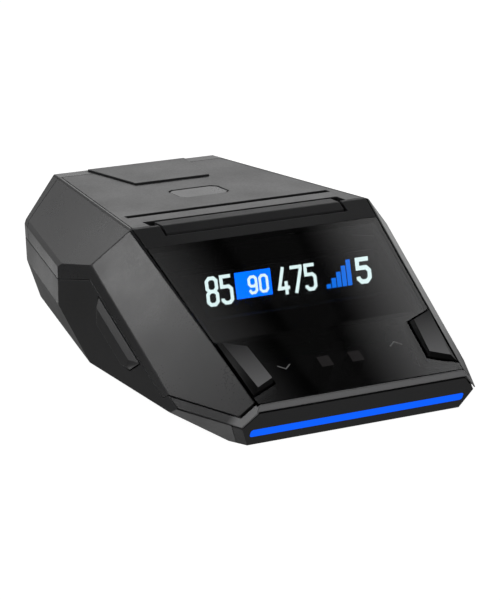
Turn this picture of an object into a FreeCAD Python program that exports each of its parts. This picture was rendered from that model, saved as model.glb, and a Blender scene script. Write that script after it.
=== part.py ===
import FreeCAD, Part
import math
import os

V = FreeCAD.Vector

# A windscreen radar detector with a faceted body.
# Millimetres. +X is the driver's right, +Y points at the road ahead, +Z is up.
# The display faces -Y. The origin is the centre of the body's underside.

# ---------------------------------------------------------------- driving dimensions
TOP_Z = 35.2            # height of the flat top
HALF_LENGTH = 52.35
HALF_WIDTH = 37.0
WALL = 1.8              # wall of both shells
TOP_WALL = 3.0          # top of the upper shell, which carries the inlaid plate
SEAM = 0.2              # visible gap between neighbouring covers
FIT = 0.3               # gap around a key

# Corners of the body on the right-hand side; the left-hand side mirrors them.
TOP_FRONT = V(28.8, -6.2, TOP_Z)
TOP_REAR = V(20.6, 49.2, TOP_Z)
BELT_MID = V(36.2, -2.2, 27.7)
BELT_FRONT = V(34.4, -33.3, 7.7)
BELT_BACK = V(HALF_WIDTH, 12.5, 24.6)
BELT_REAR = V(30.3, 44.1, 26.3)
SKIRT_TOP = V(HALF_WIDTH, 12.5, 15.7)
SKIRT_FRONT = V(36.3, -1.1, 6.3)
SKIRT_NOSE = V(34.3, -34.0, 4.1)
SKIRT_REAR = V(30.6, 42.7, 18.1)
SKIRT_TAIL = V(23.0, 52.6, 6.1)
UNDER_EDGE = V(25.0, -20.85, 0)
UNDER_EDGE_REAR = V(18.3, 21.85, 0)
SLOPE_FOOT = V(0, -51.9, 8.95)      # lower edge of the slope, where the nose begins
CHIN_TOP = V(0, -52.35, 7.4)
CHIN_FOOT = V(0, -48.85, 0.3)
CHIN_SIDE = V(27.3, -51.05, 4.6)
CHIN_SIDE_FOOT = V(24.9, -48.85, 0)
TRIM_END = V(34.2, -36.75, 5.7)

# Seams in side view, as (y, z).
SHELL_SEAM = [(60, 24.1), (12.65, 21.5), (-1.65, 24.6), (-31.05, 6.6)]
TRIM_TOP = [(-33.35, 7.7), (-60, 5.6)]
TRIM_BOTTOM = [(-36.75, 5.7), (-60, 3.95)]

# Display panel
PANEL_HALF_TOP = 28.5
PANEL_HALF_FOOT = 24.2
GLASS = 1.5
PANEL_GAP = 0.35        # between the pillars and the panel
LEDGE = 1.3
PANEL_FOOT_Y = -51.65
BAND = 1.6
BAND_FOOT_Y = -11.25
FOLD_Y = -35.75
FOLD_DEPTH = 0.3

# Top
PLATE = 1.2
PLATE_MARGIN = 0.75
SLOT_FRONT_Y = -5.2
SLOT_BACK_Y = -1.5
SLOT_HALF = 23.7
SLOT_FLOOR_Z = 33.0
BAR_HALF = 21.4
BAR_FRONT_Y = -8.2
BAR_BACK_Y = -2.6
BAR_SKIN = 1.4
BAR_GAP = 0.7
GROOVE_Y = 4.05
GROOVE_HALF = 24.8
GROOVE_WIDTH = 1.9
SOUND_FLOOR_Z = 33.2
BADGE_Y = 18.0
BADGE_HALF_WIDTH = 5.9
BADGE_HALF_DEPTH = 3.6
BADGE_CORNER = 1.2
BADGE_SINK = 0.1
BADGE_GAP = 0.3
REAR_SEAM_Y = 45.55
REAR_SEAM_LEAN = 0.455
PAD_RISE = 0.4

# Chin
TRIM_DEPTH = 2.2
CHIN_LIP = 1.7
CHIN_PLATE = 2.2
CHIN_GAP = 0.35         # between the chin's rim and its plate
LIGHT_HALF = 25.0
LIGHT_HEIGHT = 1.9
LIGHT_CORNER_R = 0.6
LIGHT_DROP = 5.14       # centre of the light, down the chin from its top edge

# Key outlines: (x, distance down the slope) for the front keys, (y, z) for the side key.
KEY_POCKET = [(25.6, 34.2), (18.75, 36.9), (17.7, 47.8), (24.25, 50.6)]
KEY_FACE = [(24.5, 35.8), (19.7, 37.7), (18.5, 46.9), (22.6, 48.8)]
KEY_RISE = 1.0
KEY_GAP = 0.5
KEY_STEM = (21.3, 42.5)
SIDE_POCKET = [(-5.0, 21.95), (-22.3, 11.35), (-17.9, 8.7), (-15.4, 9.0), (-4.8, 15.5)]
SIDE_FACE = [(-5.9, 19.5), (-18.9, 11.5), (-17.5, 9.7), (-15.6, 9.9), (-5.8, 15.9)]
SIDE_RISE = 0.9
SIDE_STEM = (-13.5, 13.2)

# Travel of the keys
KEY_TRAVEL = 0.6
BAR_TRAVEL = 0.5
SIDE_TRAVEL = 0.6

# Switches
SWITCH_SIZE = 4.6
SWITCH_HEIGHT = 1.5
PLUNGER_R = 1.0
PLUNGER_GAP = 0.05
PLUNGER_GRIP = 0.3      # depth of the resting plunger in its switch
KEY_BOARD_DEPTH = 6.6   # top of the key board under the slope
BAR_BOARD_Z = 29.0
SIDE_BOARD_X = 30.0

# Boards and fasteners
BOARD_Z = 5.4
BOARD = 1.6
SMALL_BOARD = 1.0
FRONT_SCREW = (22.0, -31.0)
REAR_SCREW = (14.0, 32.0)
BOARD_SCREW = (21.0, 0.0)
SCREW_HOLE_R = 1.15
SCREW_SHANK_R = 0.85
SCREW_PILOT_R = 0.9
SCREW_HEAD_R = 1.9
SCREW_HEAD = 1.3
SCREW_SINK_R = 2.2
SCREW_SINK = 1.7
POST_FOOT_Z = BOARD_Z + BOARD + 0.1

# Screen behind the glass
SCREEN_ORIGIN = V(0, -17.9, 25.0)
SCREEN_LEAN = 76.5      # degrees from flat
SCREEN_HALF = 23.6
SCREEN_TOP = 1.5
SCREEN_FOOT = -8.4
SCREEN_THICK = 1.4

# Sockets and modules
SOCKET_HALF = 9.5
SOCKET_Y = (38.5, 49.6)
SOCKET_Z = (25.9, 32.1)
SOCKET_WALL = 1.0
SPEAKER_Y = 15.0
SPEAKER_R = 9.0
SPEAKER_Z = 26.9
GASKET = 0.8
JACK = V(0, 4.0, 15.4)
JACK_BORE_R = 1.8
JACK_BARREL_R = 2.9
USB = V(0, -7.5, 13.5)
POWER_BOARD_Z = 11.0

CENTRE = V(0, 0, 15)
X_AXIS = V(1, 0, 0)
Y_AXIS = V(0, 1, 0)
Z_AXIS = V(0, 0, 1)
SLOPE_ORIGIN = V(0, TOP_FRONT.y, TOP_Z)
SLOPE_ANGLE = math.degrees(math.atan2(TOP_Z - SLOPE_FOOT.z, TOP_FRONT.y - SLOPE_FOOT.y))
CHIN_ANGLE = math.degrees(math.atan2(CHIN_TOP.z - CHIN_FOOT.z, CHIN_TOP.y - CHIN_FOOT.y))


# ---------------------------------------------------------------- small helpers
def block(x_span, y_span, z_span):
    size = [span[1] - span[0] for span in (x_span, y_span, z_span)]
    return Part.makeBox(*size, V(x_span[0], y_span[0], z_span[0]))


def rod(radius, start, end):
    start = V(*start)
    along = V(*end) - start
    return Part.makeCylinder(radius, along.Length, start, along)


def prism(points, along):
    wire = Part.makePolygon(list(points) + [points[0]])
    return Part.Face(wire).extrude(along)


def side_prism(points, half=60.0):
    """A (y, z) outline carried across the body, from -half to +half."""
    return prism([V(-half, y, z) for y, z in points], V(2 * half, 0, 0))


def plan_prism(points, z_low, z_high):
    """An (x, y) outline carried up from z_low to z_high."""
    return prism([V(x, y, z_low) for x, y in points], V(0, 0, z_high - z_low))


def mirrored(shape):
    return shape.mirror(V(0, 0, 0), X_AXIS)


def both(shape):
    return shape.fuse(mirrored(shape))


def join(shapes):
    return shapes[0].multiFuse(shapes[1:]).removeSplitter()


def cut_all(shape, tools):
    for tool in tools:
        shape = shape.cut(tool)
    return shape


def tilted(shape, angle, origin):
    """Turns a shape that is drawn flat about X, then moves it to origin."""
    placed = shape.copy()
    placed.rotate(V(0, 0, 0), X_AXIS, angle)
    placed.translate(origin)
    return placed


def on_slope(shape):
    return tilted(shape, SLOPE_ANGLE, SLOPE_ORIGIN)


def on_chin(shape):
    return tilted(shape, CHIN_ANGLE, CHIN_TOP)


def on_screen(shape):
    return tilted(shape, SCREEN_LEAN, SCREEN_ORIGIN)


def outline_wire(points, grow=0.0):
    wire = Part.makePolygon(points + [points[0]])
    if grow:
        wire = wire.makeOffset2D(grow, 2)
    return wire


def slope_prism(points, low, high, grow=0.0):
    """An outline of (x, distance down the slope), carried from height low to high over the slope."""
    wire = outline_wire([V(x, -s, low) for x, s in points], grow)
    return on_slope(Part.Face(wire).extrude(V(0, 0, high - low)))


def export(shape, node):
    shape.exportStep(os.path.join("parts", node + ".step"))


# ---------------------------------------------------------------- the faceted body
def plane_through(a, b, c):
    """Outward plane through three corners, as (point, normal)."""
    normal = (b - a).cross(c - a)
    normal.normalize()
    if normal.dot(CENTRE - a) > 0:
        normal = normal * -1
    return a, normal


def bevel_between(first, second, corner, width):
    """A narrow facet along the edge that two planes share."""
    normal = first[1] + second[1]
    normal.normalize()
    half_turn = first[1].getAngle(second[1]) / 2
    return corner - normal * (width / 2 * math.tan(half_turn)), normal


# Narrow facets that break the long edges: the two faces, a corner on their edge, and the width.
BEVELS = {
    "pillar_bevel": ("slope", "pillar", TOP_FRONT, 0.7),
    "top_bevel": ("top", "shoulder", TOP_FRONT, 0.6),
    "front_bevel": ("top", "slope", SLOPE_ORIGIN, 0.4),
    "brow_bevel": ("pillar", "shoulder", TOP_FRONT, 0.35),
    "belt_bevel": ("pillar", "wall", BELT_FRONT, 0.4),
    "rear_belt_bevel": ("shoulder", "wall_rear", BELT_REAR, 0.4),
    "skirt_bevel": ("wall", "skirt", SKIRT_FRONT, 0.35),
    "rear_skirt_bevel": ("wall_rear", "skirt", SKIRT_TOP, 0.35),
    "rear_bevel": ("shoulder", "corner_rear", TOP_REAR, 0.4),
}


def body_facets():
    rear_top = V(0, TOP_REAR.y, TOP_Z)
    facets = {
        "top": (V(0, 0, TOP_Z), Z_AXIS),
        "bottom": (V(0, 0, 0), Z_AXIS * -1),
        "slope": plane_through(SLOPE_ORIGIN, SLOPE_ORIGIN + X_AXIS, SLOPE_FOOT),
        "nose": plane_through(SLOPE_FOOT, SLOPE_FOOT + X_AXIS, CHIN_TOP),
        "chin": plane_through(CHIN_TOP, CHIN_TOP + X_AXIS, CHIN_FOOT),
        "rear": plane_through(rear_top, rear_top + X_AXIS, V(0, HALF_LENGTH, 7.0)),
        "tail": (V(0, HALF_LENGTH, 0), Y_AXIS),
        "pillar": plane_through(TOP_FRONT, BELT_MID, BELT_FRONT),
        "shoulder": plane_through(TOP_FRONT, TOP_REAR, BELT_MID),
        "wall": plane_through(BELT_BACK, SKIRT_TOP, BELT_FRONT),
        "wall_rear": plane_through(BELT_BACK, SKIRT_TOP, BELT_REAR),
        "skirt": plane_through(SKIRT_REAR, SKIRT_TOP, SKIRT_FRONT),
        "under": plane_through(SKIRT_FRONT, SKIRT_NOSE, UNDER_EDGE),
        "under_rear": plane_through(SKIRT_FRONT, SKIRT_TAIL, UNDER_EDGE_REAR),
        "chin_side": plane_through(TRIM_END, CHIN_SIDE, CHIN_SIDE_FOOT),
        "corner": plane_through(BELT_REAR, SKIRT_REAR, SKIRT_TAIL),
        "corner_rear": plane_through(TOP_REAR, BELT_REAR, SKIRT_TAIL),
    }
    for name, (first, second, corner, width) in BEVELS.items():
        facets[name] = bevel_between(facets[first], facets[second], corner, width)
    return facets


FACETS = body_facets()


def outward_block(point, normal):
    size = 300
    slab = Part.makeBox(size, size, size, V(-size / 2, -size / 2, 0))
    slab.Placement = FreeCAD.Placement(point, FreeCAD.Rotation(Z_AXIS, normal))
    return slab


def body(inset=0.0, **special):
    """The faceted solid with every facet moved in by inset, or by its own value where one is named."""
    solid = block((-60, 60), (-80, 80), (-20, 60))
    for name, (point, normal) in FACETS.items():
        depth = special.get(name, inset)
        solid = solid.cut(outward_block(point - normal * depth, normal))
        if abs(normal.x) > 1e-6:
            left_point = V(-point.x, point.y, point.z)
            left_normal = V(-normal.x, normal.y, normal.z)
            solid = solid.cut(outward_block(left_point - left_normal * depth, left_normal))
    return solid


OUTER = body()
CAVITY = body(WALL, top=TOP_WALL)
SKIN = OUTER.cut(CAVITY)


# ---------------------------------------------------------------- shared regions
def above_seam():
    return side_prism(SHELL_SEAM + TRIM_TOP + [(-60, 60), (60, 60)])


def below_seam():
    seam = SHELL_SEAM + TRIM_TOP[:1] + TRIM_BOTTOM
    return side_prism([(y, z - SEAM) for y, z in seam] + [(-60, -20), (60, -20)])


def between_trim_seams():
    upper = [(y, z - SEAM) for y, z in TRIM_TOP]
    return side_prism(upper + TRIM_BOTTOM[::-1])


def behind_rear_seam(gap):
    """Everything above the shell seam and behind the leaning rear seam."""
    top = REAR_SEAM_Y - gap
    foot = top - REAR_SEAM_LEAN * (TOP_Z - 20)
    return side_prism([(top, TOP_Z), (foot, 20), (60, 20), (60, 60), (top, 60)]).common(above_seam())


def panel_half(y):
    share = (TOP_FRONT.y - y) / (TOP_FRONT.y - SLOPE_FOOT.y)
    return PANEL_HALF_TOP + (PANEL_HALF_FOOT - PANEL_HALF_TOP) * share


def panel_outline(y_foot, y_top, inset=0.0):
    foot = panel_half(y_foot) - inset
    top = panel_half(y_top) - inset
    return [(-foot, y_foot), (foot, y_foot), (top, y_top), (-top, y_top)]


def panel_region(y_foot, y_top, inset=0.0):
    return plan_prism(panel_outline(y_foot, y_top, inset), -10, 60)


def slope_z(y):
    return TOP_Z + (y - TOP_FRONT.y) * math.tan(math.radians(SLOPE_ANGLE))


def plate_region(inset):
    front = TOP_FRONT.x - PLATE_MARGIN - inset
    back = TOP_REAR.x - PLATE_MARGIN - inset
    outline = [(-front, SLOT_FRONT_Y), (front, SLOT_FRONT_Y), (back, TOP_REAR.y), (-back, TOP_REAR.y)]
    return plan_prism(outline, TOP_Z - PLATE, TOP_Z + 10)


def pad_region(inset):
    outline = [(-9.2, 30.4), (9.2, 30.4), (12.3, 48.4), (-12.3, 48.4)]
    wire = outline_wire([V(x, y, TOP_Z - PLATE) for x, y in outline], -inset)
    return Part.Face(wire).extrude(V(0, 0, PLATE + PAD_RISE))


def wall_x(y):
    """Outer face of the side wall at a given y."""
    share = (BELT_BACK.y - y) / (BELT_BACK.y - BELT_FRONT.y)
    return BELT_BACK.x + (BELT_FRONT.x - BELT_BACK.x) * share


# ---------------------------------------------------------------- shells
def glass_ledge():
    """Rim that carries the glass: a frame just under it, joined to the pillars."""
    slab = body(GLASS + FOLD_DEPTH).cut(body(GLASS + FOLD_DEPTH + LEDGE))
    ring = panel_region(-49.4, -8.6, -1.2).cut(panel_region(-47.8, -10.4, 1.6))
    ledge = slab.common(ring).common(above_seam())
    around_key = slope_prism(KEY_POCKET, -6, 1, 1.1)
    ledge = cut_all(ledge, [both(around_key), block((-60, 60), (-60, 0), (-10, 12.0))])
    return ledge


def front_ears():
    x, y = FRONT_SCREW
    ear = block((x - 2.6, 34), (y - 2.6, y + 2.6), (POST_FOOT_Z, 12.5))
    inside = ear.common(body(TRIM_DEPTH + SEAM))
    root = ear.common(body(WALL / 2)).common(above_seam())
    return both(inside.fuse(root))


def rear_posts():
    x, y = REAR_SCREW
    return both(rod(2.4, (x, y, POST_FOOT_Z), (x, y, TOP_Z - TOP_WALL + 0.4)))


def bar_board_posts():
    return both(rod(1.3, (7.0, 1.6, BAR_BOARD_Z), (7.0, 1.6, TOP_Z - TOP_WALL + 0.4)))


def pilot_holes():
    x_front, y_front = FRONT_SCREW
    x_rear, y_rear = REAR_SCREW
    front = rod(SCREW_PILOT_R, (x_front, y_front, 0), (x_front, y_front, 11.2))
    rear = rod(SCREW_PILOT_R, (x_rear, y_rear, 0), (x_rear, y_rear, 15))
    return both(front).fuse(both(rear))


def sound_way():
    """Passage from the speaker to the slit in the top plate."""
    front_y = GROOVE_Y - GROOVE_WIDTH / 2
    mouth_half = GROOVE_HALF - 0.3
    mouth = block((-mouth_half, mouth_half), (front_y, front_y + GROOVE_WIDTH), (SOUND_FLOOR_Z, TOP_Z))
    duct = block((-6, 6), (front_y, SPEAKER_Y), (SOUND_FLOOR_Z, TOP_Z))
    well = rod(6.5, (0, SPEAKER_Y, 30), (0, SPEAKER_Y, TOP_Z))
    return mouth.fuse([duct, well])


def upper_shell():
    shell = SKIN.common(above_seam()).cut(panel_region(-60, SLOT_FRONT_Y))
    shell = join([shell, glass_ledge(), front_ears(), rear_posts(), bar_board_posts()])
    tools = [
        plate_region(0),
        behind_rear_seam(SEAM),
        block((-SLOT_HALF, SLOT_HALF), (SLOT_FRONT_Y, SLOT_BACK_Y), (SLOT_FLOOR_Z, 60)),
        block((-2.2, 2.2), (-4.9, -1.9), (20, 60)),
        sound_way(),
        pilot_holes(),
        OUTER.cut(body(0, chin=CHIN_PLATE + SEAM)),
    ]
    return cut_all(shell, tools)


def shell_bosses():
    bosses = []
    for x, y, radius in (FRONT_SCREW + (2.8,), REAR_SCREW + (2.8,), BOARD_SCREW + (1.9,)):
        bosses.append(both(rod(radius, (x, y, 0.9), (x, y, BOARD_Z))))
    for x, y in ((31.5, 9.5), (31.0, -10.0)):
        bosses.append(rod(1.5, (x, y, 3.5), (x, y, POWER_BOARD_Z)))
    post = both(rod(1.5, (11.0, -41.5, 0.9), (11.0, -41.5, 20)))
    under_board = KEY_BOARD_DEPTH + SMALL_BOARD
    bosses.append(post.cut(slope_prism([(-40, -30), (40, -30), (40, 80), (-40, 80)], -under_board, 30)))
    return [boss.common(body(0.5)) for boss in bosses]


def screw_holes():
    holes = []
    for x, y in (FRONT_SCREW, REAR_SCREW):
        holes.append(both(rod(SCREW_HOLE_R, (x, y, -1), (x, y, 10))))
        holes.append(both(rod(SCREW_SINK_R, (x, y, -1), (x, y, SCREW_SINK))))
    x, y = BOARD_SCREW
    holes.append(both(rod(SCREW_PILOT_R, (x, y, 2.0), (x, y, 10))))
    return holes


def vent_slots():
    slots = []
    for row in range(2):
        for column in range(6):
            x = -15.0 + 6.0 * column
            y = 12.0 + 3.0 * row
            slots.append(block((x - 2.2, x + 2.2), (y, y + 0.9), (-1, 4)))
    return slots


def rear_opening():
    return block((-19.6, 19.6), (46.4, 60), (4.0, 60))


def side_pocket():
    return prism([V(-60, y, z) for y, z in SIDE_POCKET], V(40, 0, 0))


def side_wall_openings():
    jack = rod(JACK_BARREL_R + 0.3, (25, JACK.y, JACK.z), (60, JACK.y, JACK.z))
    port = block((25, 60), (USB.y - 4.3, USB.y + 4.3), (USB.z - 1.7, USB.z + 1.7))
    return [jack, port]


def lower_shell():
    shell = join([SKIN.common(below_seam())] + shell_bosses())
    tools = [
        OUTER.cut(body(0, chin=CHIN_PLATE)),
        rear_opening(),
        side_pocket(),
        block((-17, 17), (-26, -8), (-1, 0.45)),
    ]
    return cut_all(shell, tools + side_wall_openings() + screw_holes() + vent_slots())


# ---------------------------------------------------------------- covers on top
def badge_outline(grow):
    """A plain rectangle with its corners cut off."""
    half = BADGE_HALF_WIDTH + grow
    depth = BADGE_HALF_DEPTH + grow
    x_in = half - BADGE_CORNER
    y_in = depth - BADGE_CORNER
    corners = [(x_in, depth), (half, y_in), (half, -y_in), (x_in, -depth)]
    corners += [(-x, y) for x, y in corners[::-1]]
    return [(x, BADGE_Y + y) for x, y in corners]


def top_plate():
    plate = OUTER.common(plate_region(SEAM))
    slit = block((-GROOVE_HALF, GROOVE_HALF), (GROOVE_Y - GROOVE_WIDTH / 2, GROOVE_Y + GROOVE_WIDTH / 2), (30, 40))
    tools = [
        block((-SLOT_HALF, SLOT_HALF), (-10, SLOT_BACK_Y), (30, 40)),
        slit,
        pad_region(-SEAM),
        behind_rear_seam(SEAM),
        plan_prism(badge_outline(BADGE_GAP), TOP_Z - 0.6, 40),
    ]
    return cut_all(plate, tools)


def top_badge():
    return plan_prism(badge_outline(0.0), TOP_Z - 0.6, TOP_Z - BADGE_SINK)


def bar_key():
    skin = OUTER.cut(body(BAR_SKIN))
    bar = skin.common(block((-BAR_HALF, BAR_HALF), (BAR_FRONT_Y, BAR_BACK_Y), (20, 60)))
    stem_foot = BAR_BOARD_Z + SWITCH_HEIGHT + 0.7
    stem = block((-1.6, 1.6), (-4.4, -2.4), (stem_foot, TOP_Z - 1.0))
    return join([bar, stem])


def mount_pad():
    return pad_region(0.0)


# ---------------------------------------------------------------- front panel
def front_band():
    skin = OUTER.cut(body(BAND))
    band = skin.common(panel_region(BAND_FOOT_Y, SLOT_FRONT_Y - SEAM, PANEL_GAP)).common(above_seam())
    notch = block((-BAR_HALF - BAR_GAP, BAR_HALF + BAR_GAP), (BAR_FRONT_Y - BAR_GAP, 0), (20, 60))
    return band.cut(notch)


def front_glass():
    fold_z = slope_z(FOLD_Y) - FOLD_DEPTH
    foot_y = PANEL_FOOT_Y + SEAM
    top_y = BAND_FOOT_Y - SEAM
    outer = [(top_y, slope_z(top_y)), (FOLD_Y, fold_z), (foot_y, slope_z(foot_y))]
    drop = GLASS / math.cos(math.radians(SLOPE_ANGLE))
    inner = [(y, z - drop) for y, z in outer[::-1]]
    glass = side_prism(outer + inner).common(panel_region(foot_y, top_y, PANEL_GAP))
    glass = glass.common(block((-60, 60), (-80, 80), (CHIN_TOP.z + SEAM, 60)))
    return cut_all(glass, [both(slope_prism(KEY_POCKET, -10, 10)), both(key_edge_opening())])


def key_edge_opening():
    """Opens the key's notch to the edge of the panel."""
    outer = [(KEY_POCKET[0][0] - 0.2, KEY_POCKET[0][1]), (30, KEY_POCKET[0][1]), (30, KEY_POCKET[3][1])]
    return slope_prism(outer + [(KEY_POCKET[3][0] - 0.2, KEY_POCKET[3][1])], -10, 10)


def sensor_windows():
    """Two small light pipes just under the glass."""
    pipe = slope_prism([(2.2, 41.6), (5.0, 41.6), (5.0, 44.4), (2.2, 44.4)], -KEY_BOARD_DEPTH, -GLASS - 0.5)
    return both(pipe)


def front_key():
    """The right-hand key: a bevelled cap, a flange that holds it under the glass, and a stem."""
    base = [V(x, -s, 0) for x, s in KEY_POCKET]
    cap_foot = outline_wire(base, -KEY_GAP)
    skirt = Part.Face(cap_foot).extrude(V(0, 0, -3.2))
    face = outline_wire([V(x, -s, KEY_RISE) for x, s in KEY_FACE])
    cap = Part.makeLoft([cap_foot, face], True, True)
    flange = Part.Face(outline_wire([V(p.x, p.y, -3.2) for p in base], 0.6)).extrude(V(0, 0, 0.8))
    x, s = KEY_STEM
    stem = rod(1.5, (x, -s, -KEY_BOARD_DEPTH + SWITCH_HEIGHT + 0.9), (x, -s, -3.0))
    key = on_slope(join([skirt, cap, flange, stem]))
    return key.common(panel_region(-60, 0, FIT))


def key_plunger():
    x, s = KEY_STEM
    top = -KEY_BOARD_DEPTH + SWITCH_HEIGHT
    return on_slope(rod(PLUNGER_R, (x, -s, top - PLUNGER_GRIP), (x, -s, top + 0.9)))


def switch_body(travel):
    """A push switch drawn flat, with its base at the origin and the plunger's bore in its top."""
    half = SWITCH_SIZE / 2
    case = block((-half, half), (-half, half), (0, SWITCH_HEIGHT))
    bore_foot = SWITCH_HEIGHT - PLUNGER_GRIP - travel - 0.15
    bore = rod(PLUNGER_R + PLUNGER_GAP, (0, 0, bore_foot), (0, 0, SWITCH_HEIGHT + 1))
    return case.cut(bore)


def key_switches():
    x, s = KEY_STEM
    switch = switch_body(KEY_TRAVEL)
    switch.translate(V(x, -s, -KEY_BOARD_DEPTH))
    return both(on_slope(switch))


def key_board():
    outline = [(-23.4, 36.4), (23.4, 36.4), (23.4, 48.0), (-23.4, 48.0)]
    foot = -KEY_BOARD_DEPTH - SMALL_BOARD
    return slope_prism(outline, foot, -KEY_BOARD_DEPTH)


# ---------------------------------------------------------------- chin
def chin_field(gap):
    """Six-sided field of the chin plate, with room around it."""
    field = body(0, slope=1.12 - gap, pillar=0.6 - gap, pillar_bevel=0)
    field = field.common(block((-60, 60), (-80, 80), (-20, CHIN_TOP.z + gap)))
    return field.cut(body(0, chin=CHIN_PLATE + 0.4))


def chin_trim():
    """Bevelled rim over the chin, with an arm along each side."""
    front = OUTER.cut(body(0, chin=CHIN_LIP)).common(side_prism([(-60, 60), (-60, 3.95), (-40, 5.45), (-40, 60)]))
    panel_floor = outward_block(SLOPE_FOOT - FACETS["slope"][1] * (GLASS + 0.3), FACETS["slope"][1])
    front = front.cut(panel_region(PANEL_FOOT_Y, 0).common(panel_floor))
    arms = OUTER.cut(body(0, pillar=TRIM_DEPTH, wall=TRIM_DEPTH, chin_side=TRIM_DEPTH))
    arms = arms.common(between_trim_seams()).common(block((-60, 60), (-80, 0), (-20, 20)))
    return join([front, arms]).cut(chin_field(CHIN_GAP))


def chin_plate():
    plate = chin_field(0.0).cut(body(0, chin=CHIN_PLATE - 0.1))
    return plate.cut(on_chin(light_slot(0.05, -10, 10)))


def light_slot(grow, low, high):
    """A bar with rounded corners, drawn flat on the chin."""
    half = LIGHT_HALF + grow
    rise = LIGHT_HEIGHT / 2 + grow
    bar = block((-half, half), (-LIGHT_DROP - rise, -LIGHT_DROP + rise), (low, high))
    upright = [edge for edge in bar.Edges if abs(edge.tangentAt(0).z) > 0.9]
    return bar.makeFillet(LIGHT_CORNER_R + grow, upright)


def light_bar():
    flange = block((-LIGHT_HALF, LIGHT_HALF), (-LIGHT_DROP - 1.3, -LIGHT_DROP + 1.3), (-CHIN_PLATE - 0.9, -CHIN_PLATE))
    bar = join([light_slot(0.0, -CHIN_PLATE, 0.0), flange])
    return on_chin(bar)


def light_board():
    top = -CHIN_PLATE - 1.9
    return on_chin(block((-23, 23), (-LIGHT_DROP - 1.4, -LIGHT_DROP + 2.2), (top - SMALL_BOARD, top)))


def light_leds():
    top = -CHIN_PLATE - 1.0
    chips = []
    for index in range(6):
        x = -20.0 + 8.0 * index
        chips.append(block((x - 1.0, x + 1.0), (-LIGHT_DROP - 0.7, -LIGHT_DROP + 0.7), (top - 0.9, top)))
    return on_chin(Part.makeCompound(chips))


# ---------------------------------------------------------------- rear
def window_region(gap):
    return block((-16.5 + gap, 16.5 - gap), (40, 60), (6.6 + gap, 23.6 - gap))


def rear_frame():
    cap = SKIN.common(behind_rear_seam(0))
    plate = OUTER.common(block((-19.4, 19.4), (47.4, 60), (4.2, 26.0)))
    shade = OUTER.common(block((-19.4, 19.4), (46.6, 60), (23.0, TOP_Z - 1)))
    frame = join([cap, plate, shade])
    tools = [
        window_region(0).cut(body(0, rear=1.7, tail=1.7)),
        block((-15, 15), (40, 60), (8.1, 22.1)),
        block((-SOCKET_HALF - 0.15, SOCKET_HALF + 0.15), (30, 60), (SOCKET_Z[0] - 0.15, SOCKET_Z[1] + 0.15)),
        pad_region(-SEAM),
    ]
    return cut_all(frame, tools)


def rear_window():
    return OUTER.common(window_region(0.15)).cut(body(0, rear=1.6, tail=1.6))


def mount_socket():
    """Sleeve for the windscreen bracket's tongue, open to the rear."""
    sleeve = block((-SOCKET_HALF, SOCKET_HALF), SOCKET_Y, SOCKET_Z)
    inside = block(
        (-SOCKET_HALF + SOCKET_WALL + 0.6, SOCKET_HALF - SOCKET_WALL - 0.6),
        (SOCKET_Y[0] + 1.2, 60),
        (SOCKET_Z[0] + 0.9, SOCKET_Z[1] - 0.8),
    )
    return sleeve.cut(inside)


# ---------------------------------------------------------------- side key
def side_wire(points, rise, grow=0.0):
    """The side key's outline, laid parallel to the left wall at a height over it."""
    flat = outline_wire([V(0, y, z) for y, z in points], grow)
    corners = [vertex.Point for vertex in flat.OrderedVertexes]
    placed = [V(-wall_x(p.y) - rise, p.y, p.z) for p in corners]
    return Part.makePolygon(placed + [placed[0]])


def side_key():
    foot = side_wire(SIDE_POCKET, -2.6, -FIT)
    brow = side_wire(SIDE_POCKET, 0.0, -FIT)
    face = side_wire(SIDE_FACE, SIDE_RISE)
    skirt = Part.makeLoft([foot, brow], True, True)
    cap = Part.makeLoft([brow, face], True, True)
    y, z = SIDE_STEM
    switch_top = -SIDE_BOARD_X - SWITCH_HEIGHT
    stem = rod(1.5, (switch_top - 0.9, y, z), (-wall_x(y) + 2.0, y, z))
    return join([skirt, cap, stem])


def side_plunger():
    y, z = SIDE_STEM
    top = -SIDE_BOARD_X - SWITCH_HEIGHT
    return rod(PLUNGER_R, (top + PLUNGER_GRIP, y, z), (top - 0.9, y, z))


def side_switch():
    switch = switch_body(SIDE_TRAVEL)
    switch.rotate(V(0, 0, 0), Y_AXIS, -90)
    switch.translate(V(-SIDE_BOARD_X, SIDE_STEM[0], SIDE_STEM[1]))
    return switch


def side_board():
    y, z = SIDE_STEM
    return block((-SIDE_BOARD_X, -SIDE_BOARD_X + SMALL_BOARD), (y - 6, y + 6), (BOARD_Z + BOARD, z + 3.4))


# ---------------------------------------------------------------- bar key's switch
def bar_plunger():
    top = BAR_BOARD_Z + SWITCH_HEIGHT
    return rod(PLUNGER_R, (0, -3.4, top - PLUNGER_GRIP), (0, -3.4, top + 0.7))


def bar_switch():
    switch = switch_body(BAR_TRAVEL)
    switch.translate(V(0, -3.4, BAR_BOARD_Z))
    return switch


def bar_board():
    return block((-9.5, 9.5), (-7.0, 4.0), (BAR_BOARD_Z - SMALL_BOARD, BAR_BOARD_Z))


# ---------------------------------------------------------------- screen
def screen_module():
    module = block((-SCREEN_HALF, SCREEN_HALF), (SCREEN_FOOT, SCREEN_TOP), (-SCREEN_THICK, 0))
    return on_screen(module)


def screen_carrier():
    """Dark hood that holds the screen upright behind the sloping glass."""
    outline = [(-33.0, 15.6), (-15.6, 15.6), (-14.6, 26.9), (-19.5, 26.9)]
    hood = side_prism(outline).common(panel_region(-33.0, -14.0, 2.3)).common(body(GLASS + 0.3))
    view = block((-SCREEN_HALF + 0.9, SCREEN_HALF - 0.9), (SCREEN_FOOT + 0.7, SCREEN_TOP - 0.3), (-0.5, 30))
    seat = block((-SCREEN_HALF - 0.1, SCREEN_HALF + 0.1), (SCREEN_FOOT - 0.1, SCREEN_TOP + 0.1), (-SCREEN_THICK, 0.6))
    return hood.cut(on_screen(view)).cut(on_screen(seat))


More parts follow.
